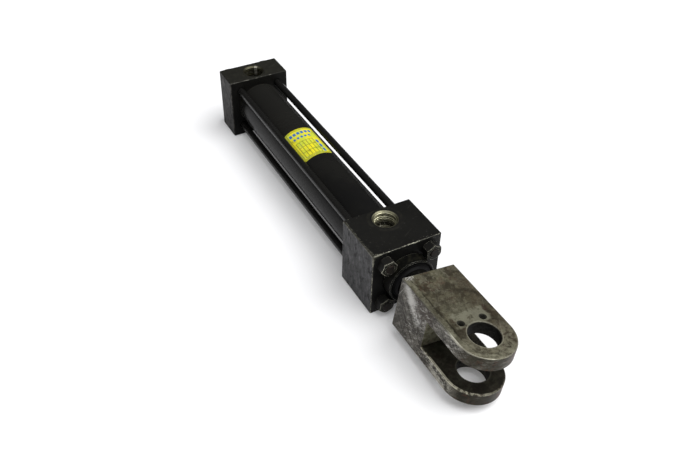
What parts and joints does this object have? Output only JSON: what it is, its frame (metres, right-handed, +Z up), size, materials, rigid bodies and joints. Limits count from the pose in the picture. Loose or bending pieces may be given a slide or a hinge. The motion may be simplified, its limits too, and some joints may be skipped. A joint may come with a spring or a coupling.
{
  "type": "hydraulic cylinder",
  "caption": "Double-acting tie-rod hydraulic cylinder with square end blocks, top oil ports, chromed rod and a screwed-on female rod clevis.",
  "frame": {"origin": "centre of the footprint of the bounding box at rest, at the height of the faces that the square head and cap stand on", "axes": "+X along the cylinder's axis towards the rod end, +Z up out of the two oil ports, -Y the left side"},
  "size_m": [0.4588, 0.064, 0.064],
  "materials": {
    "block_paint": "satin black enamel, rubbed to bare metal on its edges",
    "tube_paint": "satin black enamel",
    "tie_rod_paint": "satin black enamel over rolled steel",
    "nut_steel": "black enamel, corners rubbed bare",
    "gland_iron": "black, turned",
    "rod_chrome": "ground and polished hard chrome",
    "clevis_steel": "bare machined steel, darkened, mottled and lightly rusted",
    "piston_steel": "turned",
    "screw_steel": "black oxide",
    "wiper_rubber": "matte",
    "seal_rubber": "matte",
    "seal_ptfe": "bronze-filled PTFE",
    "guide_resin": "fabric-filled resin",
    "label_foil": "yellow printed foil, worn"
  },
  "bodies": {
    "barrel": {"rear_cap": "block_paint", "front_head": "block_paint", "cylinder_tube": "tube_paint", "tie_rod_upper_left": "tie_rod_paint", "tie_rod_upper_right": "tie_rod_paint", "tie_rod_lower_left": "tie_rod_paint", "tie_rod_lower_right": "tie_rod_paint", "front_tie_nuts": "nut_steel", "rear_tie_nuts": "nut_steel", "tube_oring_rear": "seal_rubber", "tube_backup_ring_rear": "seal_ptfe", "tube_oring_front": "seal_rubber", "tube_backup_ring_front": "seal_ptfe", "rod_gland": "gland_iron", "gland_oring": "seal_rubber", "gland_backup_ring": "seal_ptfe", "rod_wiper": "wiper_rubber", "rod_lip_seal": "seal_rubber", "rod_step_seal": "seal_ptfe", "rod_step_seal_energiser": "seal_rubber", "rod_guide_ring": "guide_resin", "label_plate": "label_foil"},
    "piston_rings": {"piston_seal": "seal_ptfe", "piston_seal_energiser": "seal_rubber", "piston_guide_ring_front": "guide_resin", "piston_guide_ring_rear": "guide_resin"},
    "rod": {"piston_rod": "rod_chrome", "piston": "piston_steel", "piston_joint_oring": "seal_rubber", "piston_lock_screw": "screw_steel", "rod_clevis": "clevis_steel"}
  },
  "joints": [
    {"name": "rod_slide", "type": "slide", "parent": "barrel", "child": "piston_rings", "axis": [1, 0, 0], "range_m": [0, 0.2]},
    {"name": "rod_turn", "type": "hinge", "parent": "piston_rings", "child": "rod", "pos_m": [-0.04035, 0, 0.032], "axis": [1, 0, 0], "continuous": true}
  ]
}
